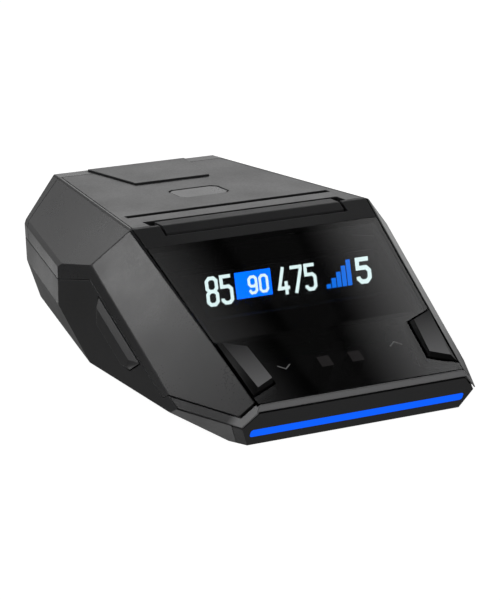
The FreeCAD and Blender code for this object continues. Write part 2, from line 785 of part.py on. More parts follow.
def screen_ribbon():
    """Flat flexible lead from the screen's back down to the main board."""
    top_z = 15.5
    foot_z = BOARD_Z + BOARD
    outline = [
        (-16.4, top_z), (-16.4, foot_z + 1.0), (-15.0, foot_z + 0.3), (-9.0, foot_z + 0.3),
        (-9.0, foot_z), (-15.1, foot_z), (-16.7, foot_z + 0.9), (-16.7, top_z),
    ]
    return side_prism(outline, 8.0)


# ---------------------------------------------------------------- boards and modules
def main_board():
    outline = [(-27, -34.5), (27, -34.5), (28, 5), (19, 38), (-19, 38), (-28, 5)]
    board = plan_prism(outline, BOARD_Z, BOARD_Z + BOARD).common(body(WALL + 0.4))
    holes = []
    for x, y in (FRONT_SCREW, REAR_SCREW, BOARD_SCREW):
        holes.append(both(rod(SCREW_HOLE_R, (x, y, 0), (x, y, 20))))
    for x, y in ((31.5, 9.5), (31.0, -10.0)):
        holes.append(rod(1.9, (x, y, 0), (x, y, 20)))
    return cut_all(board, holes)


def processor():
    return block((-6, 6), (-6, 6), (BOARD_Z + BOARD, BOARD_Z + BOARD + 1.2))


def board_parts():
    base = BOARD_Z + BOARD
    parts = [
        block((-14, -9), (8, 13), (base, base + 2.4)),
        block((9, 15), (9, 13), (base, base + 1.1)),
        block((-22, -18), (-24, -18), (base, base + 1.6)),
        block((10, 13.5), (-22, -16), (base, base + 1.6)),
        rod(2.0, (17, -8, base), (17, -8, base + 4.2)),
        rod(2.0, (17, -13, base), (17, -13, base + 4.2)),
    ]
    return Part.makeCompound(parts)


def backup_cell():
    base = BOARD_Z + BOARD
    return rod(5.0, (-17.5, -6.5, base), (-17.5, -6.5, base + 3.6))


def horn_section(y, half_x, low_z, high_z):
    corners = [V(-half_x, y, low_z), V(half_x, y, low_z), V(half_x, y, high_z), V(-half_x, y, high_z)]
    for corner in corners:
        corner.x = corner.x - 3.0
    return Part.makePolygon(corners + [corners[0]])


def horn_antenna():
    """Microwave horn that opens to the rear window."""
    flare = Part.makeLoft([horn_section(24, 4.2, 11.8, 17.2), horn_section(46, 10.5, 8.2, 21.6)], True, True)
    throat = Part.makeLoft([horn_section(24, 3.4, 12.6, 16.4), horn_section(46.01, 9.7, 9.0, 20.8)], True, True)
    guide = block((-7.2, 1.2), (15, 24), (11.8, 17.2))
    guide_bore = block((-6.4, 0.4), (16, 24.5), (12.6, 16.4))
    horn = join([flare, guide])
    return horn.cut(throat).cut(guide_bore)


def horn_stand():
    """Bracket that holds the horn over the main board."""
    base = BOARD_Z + BOARD
    return block((-7.2, 1.2), (16, 23), (base, 11.8))


def rf_shield():
    return block((-7.2, 1.2), (9.5, 15), (BOARD_Z + BOARD, 18.0))


def laser_module():
    return block((8.6, 17.6), (39.5, 44.8), (9.0, 20.0))


def laser_lens():
    barrel = rod(4.2, (13.1, 44.8, 14.5), (13.1, 46.0, 14.5))
    dome = Part.makeSphere(7.0, V(13.1, 40.0, 14.5))
    lens = dome.common(rod(3.8, (13.1, 44.0, 14.5), (13.1, 60, 14.5)))
    return barrel.fuse(lens).cut(block((0, 30), (30, 44.8), (0, 30))).removeSplitter()


def gps_antenna():
    ceramic = block((-6, 6), (25.2, 37.2), (28.0, TOP_Z - TOP_WALL))
    foil = block((-5, 5), (26.2, 36.2), (27.8, 28.0))
    return join([ceramic, foil])


def speaker_gasket():
    top = TOP_Z - TOP_WALL
    ring = rod(SPEAKER_R, (0, SPEAKER_Y, top - GASKET), (0, SPEAKER_Y, top))
    return ring.cut(rod(7.2, (0, SPEAKER_Y, 0), (0, SPEAKER_Y, 50)))


def speaker():
    top = TOP_Z - TOP_WALL - GASKET
    basket = rod(SPEAKER_R, (0, SPEAKER_Y, top - 1.8), (0, SPEAKER_Y, top))
    magnet = rod(6.0, (0, SPEAKER_Y, SPEAKER_Z), (0, SPEAKER_Y, top - 1.8))
    dish = Part.makeCone(3.0, 7.2, 1.3, V(0, SPEAKER_Y, top - 1.2), Z_AXIS)
    return join([basket, magnet]).cut(dish)


def power_board():
    board = block((19, 34), (-13, 12.5), (POWER_BOARD_Z, POWER_BOARD_Z + SMALL_BOARD))
    return board.common(body(WALL + 0.4))


def board_header():
    return block((24.5, 27), (-3.5, 3.5), (BOARD_Z + BOARD, POWER_BOARD_Z))


def dc_jack():
    """Socket for a 3.5 mm round power plug."""
    floor = POWER_BOARD_Z + SMALL_BOARD
    outer_x = wall_x(JACK.y) - 0.4
    case = block((22.5, 33.6), (JACK.y - 3.4, JACK.y + 3.4), (floor, JACK.z + 3.4))
    barrel = rod(JACK_BARREL_R, (30, JACK.y, JACK.z), (outer_x, JACK.y, JACK.z))
    bore = rod(JACK_BORE_R, (outer_x - 11.0, JACK.y, JACK.z), (60, JACK.y, JACK.z))
    return join([case, barrel]).cut(bore)


def usb_port():
    outer_x = wall_x(USB.y) - 0.6
    shell = block((29.5, outer_x), (USB.y - 3.9, USB.y + 3.9), (USB.z - 1.5, USB.z + 1.4))
    mouth = block((30.5, 60), (USB.y - 3.5, USB.y + 3.5), (USB.z - 1.1, USB.z + 1.0))
    tongue = block((30.4, outer_x - 1.0), (USB.y - 2.2, USB.y + 2.2), (USB.z - 0.2, USB.z + 0.4))
    return shell.cut(mouth).fuse(tongue).removeSplitter()


def screw(x, y, head_z, tip_z, up):
    """A pan-head screw on Z. up is +1 where the head is underneath."""
    head = rod(SCREW_HEAD_R, (x, y, head_z - up * SCREW_HEAD), (x, y, head_z))
    shank = rod(SCREW_SHANK_R, (x, y, head_z), (x, y, tip_z))
    middle = head_z - up * SCREW_HEAD
    slot = block((x - 1.2, x + 1.2), (y - 0.25, y + 0.25), (middle - 0.5, middle + 0.5))
    cross = block((x - 0.25, x + 0.25), (y - 1.2, y + 1.2), (middle - 0.5, middle + 0.5))
    return head.fuse(shank).removeSplitter().cut(slot).cut(cross)


def case_screws():
    x_front, y_front = FRONT_SCREW
    x_rear, y_rear = REAR_SCREW
    front = screw(x_front, y_front, SCREW_SINK, 10.8, 1)
    rear = screw(x_rear, y_rear, SCREW_SINK, 14.0, 1)
    return Part.makeCompound([front, mirrored(front), rear, mirrored(rear)])


def board_screws():
    x, y = BOARD_SCREW
    top = BOARD_Z + BOARD
    one = screw(x, y, top, 2.4, -1)
    return Part.makeCompound([one, mirrored(one)])


def label():
    return block((-16.8, 16.8), (-25.8, -8.2), (0.1, 0.45))


# ---------------------------------------------------------------- the whole part
def main():
    os.makedirs("parts", exist_ok=True)
    right_key = front_key()
    right_plunger = key_plunger()
    nodes = {
        "upper_shell": upper_shell(),
        "lower_shell": lower_shell(),
        "top_plate": top_plate(),
        "top_badge": top_badge(),
        "mount_pad": mount_pad(),
        "mount_socket": mount_socket(),
        "front_band": front_band(),
        "front_glass": front_glass(),
        "sensor_windows": sensor_windows(),
        "chin_trim": chin_trim(),
        "chin_plate": chin_plate(),
        "light_bar": light_bar(),
        "light_board": light_board(),
        "light_leds": light_leds(),
        "rear_frame": rear_frame(),
        "rear_window": rear_window(),
        "key_right": right_key,
        "key_left": mirrored(right_key),
        "plunger_right": right_plunger,
        "plunger_left": mirrored(right_plunger),
        "key_switches": key_switches(),
        "key_board": key_board(),
        "bar_key": bar_key(),
        "plunger_bar": bar_plunger(),
        "bar_switch": bar_switch(),
        "bar_board": bar_board(),
        "side_key": side_key(),
        "plunger_side": side_plunger(),
        "side_switch": side_switch(),
        "side_board": side_board(),
        "screen_module": screen_module(),
        "screen_carrier": screen_carrier(),
        "screen_ribbon": screen_ribbon(),
        "main_board": main_board(),
        "processor": processor(),
        "board_parts": board_parts(),
        "backup_cell": backup_cell(),
        "horn_antenna": horn_antenna(),
        "horn_stand": horn_stand(),
        "rf_shield": rf_shield(),
        "laser_module": laser_module(),
        "laser_lens": laser_lens(),
        "gps_antenna": gps_antenna(),
        "speaker": speaker(),
        "speaker_gasket": speaker_gasket(),
        "power_board": power_board(),
        "board_header": board_header(),
        "dc_jack": dc_jack(),
        "usb_port": usb_port(),
        "case_screws": case_screws(),
        "board_screws": board_screws(),
        "label": label(),
    }
    for node, shape in nodes.items():
        export(shape, node)
        print(node, "solids", len(shape.Solids), "valid", shape.isValid(), "volume", round(shape.Volume, 1))


main()
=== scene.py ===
import math

import bmesh
import bpy
from mathutils import Matrix, Vector
from mathutils.bvhtree import BVHTree


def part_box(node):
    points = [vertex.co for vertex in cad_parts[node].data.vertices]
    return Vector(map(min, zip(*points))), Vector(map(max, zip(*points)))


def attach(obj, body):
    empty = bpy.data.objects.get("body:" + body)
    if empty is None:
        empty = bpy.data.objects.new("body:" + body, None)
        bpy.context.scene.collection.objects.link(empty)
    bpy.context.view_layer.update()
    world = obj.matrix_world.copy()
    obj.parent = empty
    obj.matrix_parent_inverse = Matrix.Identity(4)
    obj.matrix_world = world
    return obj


# The looks of a windscreen radar detector, in metres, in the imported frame.
# The display faces -Y and +Z is up.

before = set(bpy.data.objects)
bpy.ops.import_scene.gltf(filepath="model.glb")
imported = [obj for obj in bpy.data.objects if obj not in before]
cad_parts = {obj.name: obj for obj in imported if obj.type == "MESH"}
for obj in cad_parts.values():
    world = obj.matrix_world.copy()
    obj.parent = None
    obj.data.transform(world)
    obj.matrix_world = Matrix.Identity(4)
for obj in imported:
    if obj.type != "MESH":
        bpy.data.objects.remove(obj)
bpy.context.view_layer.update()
MM = 0.001

# ---------------------------------------------------------------- sizes
# A lean is the angle from lying flat, tipped towards the viewer.
SCREEN_LEAN = math.radians(76.5)
SCREEN_HEIGHT = 9.9 * MM                   # of the screen's face, measured along its lean
SLOPE_LEAN = math.radians(29.87)
CHIN_LEAN = math.radians(116.24)
GLYPH_THICK = 0.06 * MM
GLYPH_LIFT = 0.01 * MM                     # gap between a glyph and the face it lies on
FIGURE_STROKE = 0.25                       # as a share of a figure's width
MITRE_LIMIT = 0.35                         # keeps a sharp corner of a stroke from growing a spike
ARROW_HALF_WIDTH = 1.45 * MM
ARROW_HALF_RISE = 0.55 * MM
ARROW_STROKE = 0.22 * MM
ARROW_THICK = 0.03 * MM
ABOVE_PART = 0.1                           # a height that is clear of the whole part
KEY_FADE_Y = (-49.0 * MM, -37.0 * MM)      # a front key's face fades from a painted highlight at its foot to its own grey at the top
TRIM_FRONT_Y = (-49.5 * MM, -47.5 * MM)    # a painted highlight on the trim's front gives way to its own colour

# ---------------------------------------------------------------- colours
SHELL_GREY = (0.020, 0.020, 0.021)
TRIM_GREY = (0.015, 0.015, 0.016)
# painted highlight along the trim's front
TRIM_FRONT_PAINTED_HIGHLIGHT = (0.27, 0.27, 0.275)
BAND_GREY = (0.020, 0.020, 0.021)
KEY_GREY = (0.022, 0.022, 0.023)
# painted highlight on the foot of a front key's face
KEY_FOOT_PAINTED_HIGHLIGHT = (0.30, 0.30, 0.305)
# painted shade on the sides of a front key
KEY_SIDE_PAINTED_SHADE = (0.001, 0.001, 0.001)
LIGHT_BLUE = (0.0, 0.088, 0.80)
BOX_BLUE = (0.0, 0.135, 1.0)
BAR_BLUE = (0.003, 0.115, 0.55)
FIGURE_WHITE = (0.74, 0.92, 0.88)
GLASS_TINT = (0.22, 0.22, 0.23)
INK_GREY = (0.34, 0.34, 0.34)
# painted glow of the sensor windows, which are no lamps
SENSOR_PAINTED_GLOW_WHITE = (1.0, 0.92, 0.90)

# ---------------------------------------------------------------- glow strengths
FIGURE_GLOW = 5.2
BOX_GLOW = 7.5
BAR_GLOW = 7.0
GUIDE_GLOW = 1.35
# strength of the sensor windows' painted glow
SENSOR_PAINTED_GLOW = 0.065

# ---------------------------------------------------------------- what the display shows
# Millimetres on the screen's face, from the middle of its lower edge.
# Figures: text, left, foot, width, height, gap.
SCREEN_FIGURES = (
    ("85", -18.0, 2.9, 2.95, 6.2, 0.45),
    ("475", -1.1, 3.1, 2.85, 5.8, 0.45),
    ("5", 18.1, 2.9, 3.7, 5.7, 0.45),
)
LIMIT_FIGURES = ("90", -8.1, 4.2, 2.25, 3.9, 0.35)
LIMIT_BOX = (-11.0, 3.6, -2.5, 9.1)        # left, foot, right, top
BAR_COUNT = 5
BAR_LEFT = 10.6
BAR_PITCH = 1.3
BAR_WIDTH = 1.05
BAR_FOOT = 3.0
BAR_LOWEST = 0.9                           # height of the first bar
BAR_STEP = 1.15                            # added height of each bar after it

# Printed arrows on the panel: x and y in millimetres, and 1 for up or -1 for down.
ARROW_MARKS = {
    "mark_down": (-13.75, -44.1, -1.0),
    "mark_up": (12.9, -42.9, 1.0),
}


# ---------------------------------------------------------------- node helpers
class Graph:
    """A material's node tree, with short calls to add and link nodes."""

    def __init__(self, name):
        self.material = bpy.data.materials.new(name)
        self.material.use_nodes = True
        self.nodes = self.material.node_tree.nodes
        self.links = self.material.node_tree.links
        self.shader = self.nodes["Principled BSDF"]
        self.coords = self.add("ShaderNodeTexCoord").outputs["Object"]

    def add(self, kind, **settings):
        node = self.nodes.new(kind)
        for key, value in settings.items():
            setattr(node, key, value)
        return node

    def link(self, source, target):
        self.links.new(source, target)

    def noise(self, scale, detail=2.0, rough=0.5, coords=None):
        node = self.add("ShaderNodeTexNoise")
        node.inputs["Scale"].default_value = scale
        node.inputs["Detail"].default_value = detail
        node.inputs["Roughness"].default_value = rough
        self.link(coords or self.coords, node.inputs["Vector"])
        return node.outputs["Fac"]

    def math(self, operation, a, b=0.0):
        node = self.add("ShaderNodeMath", operation=operation)
        for socket, value in zip(node.inputs, (a, b)):
            if isinstance(value, (int, float)):
                socket.default_value = value
            else:
                self.link(value, socket)
        return node.outputs[0]

    def spread(self, source, low, high, from_low=0.3, from_high=0.7):
        """Maps a range to low..high. The default range is what noise mostly stays in."""
        node = self.add("ShaderNodeMapRange")
        node.inputs["From Min"].default_value = from_low
        node.inputs["From Max"].default_value = from_high
        node.inputs["To Min"].default_value = low
        node.inputs["To Max"].default_value = high
        self.link(source, node.inputs["Value"])
        return node.outputs["Result"]

    def mix(self, factor, first, second):
        node = self.add("ShaderNodeMix", data_type="RGBA")
        # Inputs 0, 6, 7 and output 2 are the ones a colour mix uses.
        sockets = (node.inputs[0], node.inputs[6], node.inputs[7])
        for socket, value in zip(sockets, (factor, first, second)):
            if isinstance(value, (int, float)):
                socket.default_value = value
            elif isinstance(value, tuple):
                socket.default_value = (*value, 1.0)
            else:
                self.link(value, socket)
        return node.outputs[2]

    def bevel(self, radius):
        node = self.add("ShaderNodeBevel", samples=6)
        node.inputs["Radius"].default_value = radius
        return node.outputs["Normal"]

    def edge(self, rounded):
        """1 along edges, 0 on flat faces."""
        flat = self.add("ShaderNodeNewGeometry").outputs["Normal"]
        product = self.add("ShaderNodeVectorMath", operation="DOT_PRODUCT")
        self.link(rounded, product.inputs[0])
        self.link(flat, product.inputs[1])
        return self.spread(product.outputs["Value"], 1.0, 0.0, 0.93, 0.995)

    def bump(self, height, strength, distance, normal=None):
        node = self.add("ShaderNodeBump")
        node.inputs["Strength"].default_value = strength
        node.inputs["Distance"].default_value = distance
        self.link(height, node.inputs["Height"])
        if normal is not None:
            self.link(normal, node.inputs["Normal"])
        return node.outputs["Normal"]

    def set(self, **values):
        """Sets or links the shader's sockets by name, and gives back the material."""
        for key, value in values.items():
            socket = self.shader.inputs[key.replace("_", " ")]
            if isinstance(value, tuple):
                socket.default_value = (*value, 1.0)
            elif isinstance(value, (int, float)):
                socket.default_value = value
            else:
                self.link(value, socket)
        return self.material


def scaled(colour, factor):
    """A lighter or darker version of a colour."""
    return tuple(min(1.0, channel * factor) for channel in colour)


# ---------------------------------------------------------------- materials
def facing(g, lean):
    """1 on faces turned towards the viewer by a given lean from flat, 0 elsewhere."""
    turned = g.add("ShaderNodeVectorMath", operation="DOT_PRODUCT")
    g.link(g.add("ShaderNodeNewGeometry").outputs["Normal"], turned.inputs[0])
    turned.inputs[1].default_value = (0.0, -math.sin(lean), math.cos(lean))
    return g.spread(turned.outputs["Value"], 0.0, 1.0, 0.97, 0.99)


def front_fade(g, limits):
    """1 in front of the first Y limit, 0 behind the second, fading between them."""
    split = g.add("ShaderNodeSeparateXYZ")
    g.link(g.coords, split.inputs[0])
    return g.spread(split.outputs["Y"], 1.0, 0.0, *limits)


def moulded(
    name, colour, roughness, grain=0.10, edge_gain=1.6, radius=0.22 * MM, specular=0.5, front=None
):
    """Satin moulded plastic: fine grain, slow tone changes, edges a little lighter and glossier.

    A front colour, where there is one, is a painted highlight and covers what lies in front of
    TRIM_FRONT_Y.
    """
    g = Graph(name)
    rounded = g.bevel(radius)
    # edges a little lighter and glossier, in patches
    edge_lightening = g.math("MULTIPLY", g.edge(rounded), g.spread(g.noise(700.0, 3.0), 0.35, 1.0))
    tone = g.mix(g.spread(g.noise(55.0, 4.0), 0.0, 1.0), scaled(colour, 0.88), scaled(colour, 1.12))
    speckle = g.spread(g.noise(6500.0, 1.0), 0.94, 1.06)
    # painted highlight: the front colour lightens the trim's front
    if front:
        tone = g.mix(front_fade(g, TRIM_FRONT_Y), tone, front)
    tone = g.mix(edge_lightening, tone, scaled(colour, edge_gain))
    fine = g.add("ShaderNodeVectorMath", operation="SCALE")
    g.link(tone, fine.inputs[0])
    g.link(speckle, fine.inputs["Scale"])
    slow = g.spread(g.noise(90.0, 3.0), -0.03, 0.03)
    quick = g.spread(g.noise(2600.0, 2.0), -0.03, 0.03)
    rough = g.math("ADD", g.math("ADD", slow, quick), roughness)
    rough = g.math("SUBTRACT", rough, g.math("MULTIPLY", edge_lightening, 0.08))
    normal = g.bump(g.noise(5200.0, 2.0), grain, 0.02 * MM, rounded)
    return g.set(Base_Color=fine.outputs[0], Roughness=rough, Normal=normal, Specular_IOR_Level=specular)


def key_cap_painted_light(name):
    """A front key: a painted highlight lightens its face towards the foot, and painted shade makes its
    sides black.
    """
    g = Graph(name)
    # painted highlight: the face gets lighter towards its foot
    tone = g.mix(front_fade(g, KEY_FADE_Y), KEY_GREY, KEY_FOOT_PAINTED_HIGHLIGHT)
    # painted shade: faces not turned along the slope are black
    tone = g.mix(facing(g, SLOPE_LEAN), KEY_SIDE_PAINTED_SHADE, tone)
    rough = g.spread(g.noise(300.0, 3.0), 0.3, 0.38)
    normal = g.bump(g.noise(5200.0, 2.0), 0.04, 0.02 * MM, g.bevel(0.15 * MM))
    return g.set(Base_Color=tone, Roughness=rough, Normal=normal, Specular_IOR_Level=0.2)


def smoked_glass(name, tint, roughness):
    """Dark see-through panel with a slightly smeared, wavy surface."""
    g = Graph(name)
    smear = g.spread(g.noise(70.0, 3.0), roughness * 0.8, roughness * 1.25)
    normal = g.bump(g.noise(25.0, 1.0), 0.02, 0.05 * MM)
    g.set(Base_Color=tint, Roughness=smear, Normal=normal)
    return g.set(Transmission_Weight=1.0, IOR=1.5)


def gloss(name, colour, roughness):
    """Polished opaque surface with faint smears."""
    g = Graph(name)
    smear = g.spread(g.noise(120.0, 3.0), roughness * 0.8, roughness * 1.3)
    tone = g.mix(g.spread(g.noise(300.0), 0.0, 1.0), scaled(colour, 0.9), scaled(colour, 1.1))
    return g.set(Base_Color=tone, Roughness=smear, Normal=g.bevel(0.15 * MM))


def metal(name, colour, roughness, brushed=(1.0, 1.0, 12.0)):
    """Plated metal with fine drawn lines."""
    g = Graph(name)
    stretch = g.add("ShaderNodeMapping")
    stretch.inputs["Scale"].default_value = brushed
    g.link(g.coords, stretch.inputs["Vector"])
    lines = g.noise(900.0, 3.0, 0.6, stretch.outputs[0])
    tone = g.mix(g.spread(lines, 0.0, 1.0), scaled(colour, 0.85), scaled(colour, 1.1))
    normal = g.bump(lines, 0.15, 0.01 * MM, g.bevel(0.1 * MM))
    rough = g.spread(lines, roughness * 0.8, roughness * 1.3)
    return g.set(Base_Color=tone, Roughness=rough, Metallic=1.0, Normal=normal)


def circuit_board(name, colour):
    """Solder mask with a faint grid of tracks under it."""
    g = Graph(name)
    tracks = g.add("ShaderNodeTexBrick")
    tracks.inputs["Scale"].default_value = 260.0
    tracks.inputs["Mortar Size"].default_value = 0.03
    tracks.inputs["Color1"].default_value = (*scaled(colour, 0.85), 1.0)
    tracks.inputs["Color2"].default_value = (*colour, 1.0)
    tracks.inputs["Mortar"].default_value = (*scaled(colour, 2.0), 1.0)
    g.link(g.coords, tracks.inputs["Vector"])
    tone = g.mix(g.spread(g.noise(400.0), 0.0, 0.3), tracks.outputs["Color"], scaled(colour, 0.6))
    rough = g.spread(g.noise(900.0), 0.3, 0.42)
    normal = g.bump(tracks.outputs["Fac"], 0.2, 0.02 * MM)
    return g.set(Base_Color=tone, Roughness=rough, Normal=normal)


def lit(name, colour, strength):
    """A lit surface that is a little uneven."""
    g = Graph(name)
    uneven = g.spread(g.noise(220.0, 2.0), 0.75, 1.0)
    tone = g.mix(uneven, scaled(colour, 0.8), colour)
    g.set(Base_Color=scaled(colour, 0.05), Roughness=0.6, Specular_IOR_Level=0.15)
    return g.set(Emission_Color=tone, Emission_Strength=strength)


def guide_glow_and_painted_glow(name, colour, strength, lean, uneven_scale):
    """A clear guide with dark sides and a lit end face. On the sensor windows, which are no lamps, the
    lit face is painted glow.
    """
    g = Graph(name)
    uneven = g.spread(g.noise(uneven_scale, 2.0), 0.7, 1.0)
    end = g.mix(uneven, scaled(colour, 0.85), colour)
    glow = g.mix(facing(g, lean), (0.0, 0.0, 0.0), end)
    g.set(Base_Color=(0.003, 0.003, 0.004), Roughness=0.6, Specular_IOR_Level=0.15)
    return g.set(Emission_Color=glow, Emission_Strength=strength)


def make_materials():
    # painted shade: the lower shell gets a darker copy of the shell grey
    shaded_shell_grey = scaled(SHELL_GREY, 0.8)
    bar_key_grey = scaled(SHELL_GREY, 1.3)
    hood_black = (0.001, 0.001, 0.001)
    epoxy = (0.018, 0.018, 0.02)
    fired_clay = (0.55, 0.50, 0.40)
    film = (0.42, 0.42, 0.42)
    return {
        "shell": moulded("shell_plastic", SHELL_GREY, 0.30, grain=0.025),
        "plate": moulded("plate_plastic", SHELL_GREY, 0.38, grain=0.06),
        # the lower shell's darker grey is painted shade
        "dark": moulded("shell_plastic_painted_shade", shaded_shell_grey, 0.34, grain=0.05),
        # the trim's front carries a painted highlight
        "trim": moulded("trim_plastic_painted_highlight", TRIM_GREY, 0.38, grain=0.05, front=TRIM_FRONT_PAINTED_HIGHLIGHT),
        "band": moulded("band_plastic", BAND_GREY, 0.5, grain=0.12, edge_gain=1.3),
        "bar_key": moulded("bar_key_plastic", bar_key_grey, 0.5, grain=0.05, specular=0.35),
        "hood": moulded("hood_black", hood_black, 0.95, edge_gain=1.0, specular=0.05),
        # front keys carry a painted highlight and painted shade
        "front_key": key_cap_painted_light("front_key_painted_light"),
        "key": moulded("key_plastic", SHELL_GREY, 0.34, grain=0.05, edge_gain=2.2),
        "glass": smoked_glass("smoked_panel", GLASS_TINT, 0.05),
        "badge": moulded("badge_silk", (0.055, 0.055, 0.058), 0.3, grain=0.04, edge_gain=1.8),
        "dark_window": gloss("infrared_window", (0.006, 0.002, 0.003), 0.08),
        "guide": guide_glow_and_painted_glow("lit_guide", LIGHT_BLUE, GUIDE_GLOW, CHIN_LEAN, 220.0),
        "inner": moulded("inner_black", (0.008, 0.008, 0.009), 0.6, grain=0.2, edge_gain=1.2),
        "board": circuit_board("board_green", (0.01, 0.07, 0.03)),
        "black_board": circuit_board("board_black", (0.004, 0.004, 0.005)),
        "chip": moulded("chip_epoxy", epoxy, 0.55, grain=0.2, edge_gain=1.4, radius=0.08 * MM),
        "steel": metal("plated_steel", (0.62, 0.62, 0.63), 0.28),
        "zinc": metal("cast_zinc", (0.55, 0.55, 0.57), 0.42, (1.0, 1.0, 1.0)),
        "screen": gloss("screen_face", (0.002, 0.002, 0.003), 0.25),
        "ceramic": moulded("fired_ceramic", fired_clay, 0.6, grain=0.2, edge_gain=1.1, radius=0.1 * MM),
        "foam": moulded("foam_ring", (0.02, 0.02, 0.02), 0.9, grain=0.6, edge_gain=1.0),
        # painted glow: the sensor windows emit though they are no lamps
        "lens": guide_glow_and_painted_glow("window_lens_painted_glow", SENSOR_PAINTED_GLOW_WHITE, SENSOR_PAINTED_GLOW, SLOPE_LEAN, 900.0),
        "laser_lens": gloss("laser_lens_glass", (0.02, 0.004, 0.006), 0.08),
        "label": moulded("label_film", film, 0.5, grain=0.05, edge_gain=1.1, radius=0.05 * MM),
    }


MATERIALS = make_materials()

NODE_MATERIALS = {
    "shell": ["upper_shell", "rear_frame"],
    "plate": ["top_plate", "mount_pad"],
    "dark": ["lower_shell"],
    "trim": ["chin_trim"],
    "band": ["front_band", "chin_plate"],
    "front_key": ["key_right", "key_left"],
    "key": ["side_key"],
    "bar_key": ["bar_key"],
    "hood": ["screen_carrier", "screen_ribbon"],
    "glass": ["front_glass"],
    "badge": ["top_badge"],
    "dark_window": ["rear_window"],
    "guide": ["light_bar"],
    "inner": [
        "mount_socket", "laser_module", "speaker", "dc_jack",
        "plunger_right", "plunger_left", "plunger_bar", "plunger_side",
    ],
    "board": ["side_board", "main_board", "power_board"],
    "black_board": ["light_board", "key_board", "bar_board"],
    "chip": ["processor", "board_parts", "board_header"],
    "steel": [
        "key_switches", "bar_switch", "side_switch", "backup_cell", "rf_shield",
        "usb_port", "case_screws", "board_screws",
    ],
    "zinc": ["horn_antenna", "horn_stand"],
    "screen": ["screen_module"],
    "ceramic": ["gps_antenna", "light_leds"],
    "foam": ["speaker_gasket"],
    "lens": ["sensor_windows"],
    "laser_lens": ["laser_lens"],
    "label": ["label"],
}


def paint(piece, material):
    piece.data.materials.clear()
    piece.data.materials.append(material)


def paint_nodes():
    for key, names in NODE_MATERIALS.items():
        for name in names:
            paint(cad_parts[name], MATERIALS[key])


# ---------------------------------------------------------------- making pieces
def mesh_from(mesh, name):
    """Turns a bmesh into mesh data, with its faces turned outwards."""
    bmesh.ops.recalc_face_normals(mesh, faces=mesh.faces)
    data = bpy.data.meshes.new(name)
    mesh.to_mesh(data)
    mesh.free()
    return data


def add_object(name, data):
    piece = bpy.data.objects.new(name, data)
    bpy.context.scene.collection.objects.link(piece)
    return piece


def finish_piece(name, mesh, material, body):
    """Makes a named piece of the model that rides a body."""
    piece = add_object(name, mesh_from(mesh, name))
    paint(piece, material)
    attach(piece, body)


def ribbon_outline(points, width, closed):
    """The two edges of a stroke of constant width, mitred at its corners."""
    count = len(points)
    left = []
    right = []
    for i, point in enumerate(points):
        before = points[i - 1] if (closed or i > 0) else None
        after = points[(i + 1) % count] if (closed or i < count - 1) else None
        arrive = (point - before).normalized() if before is not None else (after - point).normalized()
        leave = (after - point).normalized() if after is not None else arrive
        middle = (arrive + leave).normalized()
        side = Vector((-middle.y, middle.x))
        reach = width / 2 / max(MITRE_LIMIT, side.dot(Vector((-arrive.y, arrive.x))))
        left.append(point + side * reach)
        right.append(point - side * reach)
    return left, right


def add_stroke(mesh, points, width, thick, place, closed=False):
    """Adds a flat bar that follows points, as a closed solid."""
    points = [Vector(p) for p in points]
    left, right = ribbon_outline(points, width, closed)
    rings = []
    for a, b in zip(left, right):
        section = ((a, 0.0), (a, thick), (b, thick), (b, 0.0))
        rings.append([mesh.verts.new(place(point, height)) for point, height in section])
    spans = list(zip(rings, rings[1:]))
    if closed:
        spans.append((rings[-1], rings[0]))
    for first, second in spans:
        for i in range(4):
            j = (i + 1) % 4
            mesh.faces.new((first[i], first[j], second[j], second[i]))
    if not closed:
        mesh.faces.new(rings[0][::-1])
        mesh.faces.new(rings[-1])


def add_slab(mesh, corners, thick, place):
    """Adds a flat plate with the given corners, as a closed solid."""
    low = [mesh.verts.new(place(Vector(c), 0.0)) for c in corners]
    high = [mesh.verts.new(place(Vector(c), thick)) for c in corners]
    mesh.faces.new(low[::-1])
    mesh.faces.new(high)
    for i in range(len(corners)):
        j = (i + 1) % len(corners)
        mesh.faces.new((low[i], low[j], high[j], high[i]))


def rectangle(left, foot, right, top):
    return [(left, foot), (right, foot), (right, top), (left, top)]


# ---------------------------------------------------------------- the display's figures
def octagon_ring(left, foot, right, top, cut):
    """A closed upright ring with cut corners."""
    return [
        (left, foot + cut), (left, top - cut), (left + cut, top), (right - cut, top),
        (right, top - cut), (right, foot + cut), (right - cut, foot), (left + cut, foot),
    ]


def figure_strokes(figure, width, height, stroke):
    """Centre lines of one figure in a box of width by height: (points, closed)."""
    low = stroke / 2
    right = width - low
    top = height - low
    middle = height * 0.5
    cut = width * 0.2
    if figure == "0":
        return [(octagon_ring(low, low, right, top, cut), True)]
    if figure == "8":
        return [
            (octagon_ring(low, low, right, middle, cut), True),
            (octagon_ring(low, middle, right, top, cut), True),
        ]
    if figure == "9":
        hook = [(low, low + cut * 1.4), (low + cut, low), (right - cut, low)]
        stem = [(right, low + cut), (right, middle + cut)]
        return [
            (octagon_ring(low, middle * 0.86, right, top, cut), True),
            ([*hook, *stem], False),
        ]
    if figure == "5":
        waist = height * 0.60
        bowl = [(right - cut, waist), (right, waist - cut), (right, low + cut), (right - cut, low)]
        foot = [(low + cut, low), (low, low + cut), (low, low + cut * 1.6)]
        return [([(right, top), (low, top), (low, waist), *bowl, *foot], False)]
    if figure == "4":
        bar = height * 0.24
        return [
            ([(width * 0.56, top + low), (low, bar), (width, bar)], False),
            ([(width * 0.72, height * 0.48), (width * 0.72, 0.0)], False),
        ]
    if figure == "7":
        return [([(0.0, top), (right, top), (right, top - cut), (width * 0.36, 0.0)], False)]
    raise ValueError(figure)


